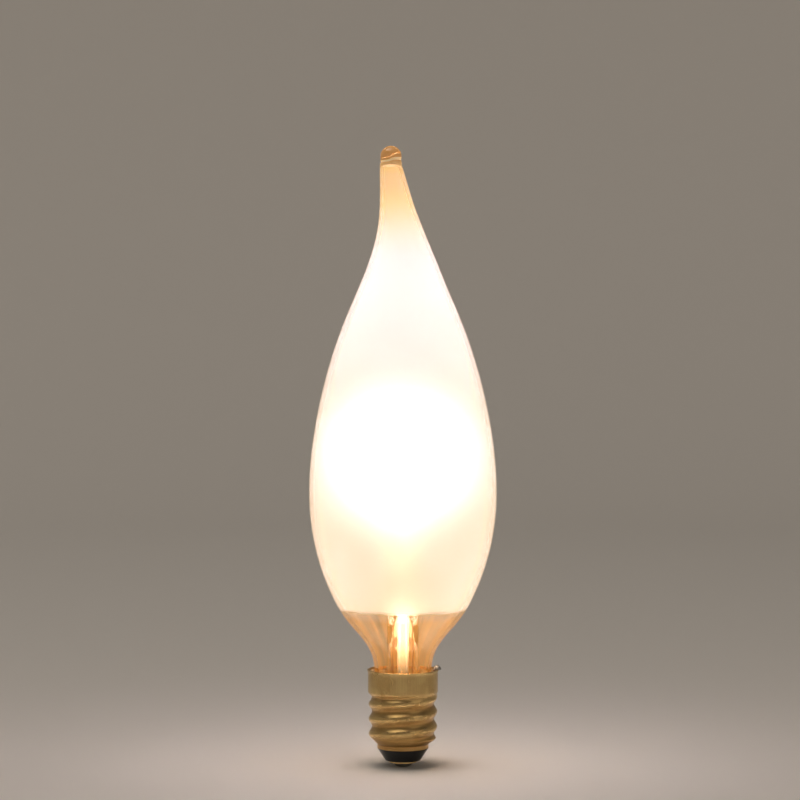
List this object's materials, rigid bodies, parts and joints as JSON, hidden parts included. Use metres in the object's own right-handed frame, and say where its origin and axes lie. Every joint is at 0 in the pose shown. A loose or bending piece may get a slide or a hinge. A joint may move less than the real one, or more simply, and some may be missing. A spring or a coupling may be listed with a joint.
{
  "type": "candle bulb",
  "caption": "Candle lamp with a frosted flame-shaped glass envelope, bent solid tip and clear neck, glass stem with wire filament, and a brass screw cap with a centre contact.",
  "frame": {"origin": "lowest point of the centre contact, on the axis of the screw cap", "axes": "+Z along the axis of the cap towards the flame tip; the tip leans towards -X and the side contact is at +X"},
  "size_m": [0.032, 0.032, 0.106],
  "materials": {
    "envelope_glass": "lime glass, clear outside and frosted inside above the neck",
    "stem_glass": "clear lead glass, flame worked",
    "support_wire": "drawn refractory wire",
    "filament_wire": "coiled tungsten wire, glowing",
    "lead_wire": "drawn nickel wire",
    "seal_wire": "copper-clad wire, borated red",
    "outer_lead": "tinned copper wire",
    "cap_brass": "rolled thin brass, lightly tarnished",
    "insulator_glass": "opaque black glass, pressed",
    "eyelet_brass": "stamped brass",
    "tin_solder": "dull tin solder, hand-melted",
    "lamp_cement": "hard basing cement, baked"
  },
  "bodies": {
    "root": {"glass_bulb": "envelope_glass", "flare_stem": "stem_glass", "exhaust_tube": "stem_glass", "button_rod": "stem_glass", "support_wire_left": "support_wire", "support_wire_centre": "support_wire", "support_wire_right": "support_wire", "filament": "filament_wire", "inner_lead_left": "lead_wire", "inner_lead_right": "lead_wire", "seal_wire_left": "seal_wire", "seal_wire_right": "seal_wire", "side_lead": "outer_lead", "fuse_lead": "outer_lead", "screw_shell": "cap_brass", "base_insulator": "insulator_glass", "contact_eyelet": "eyelet_brass", "contact_solder": "tin_solder", "side_solder": "tin_solder", "basing_cement": "lamp_cement"}
  },
  "joints": []
}
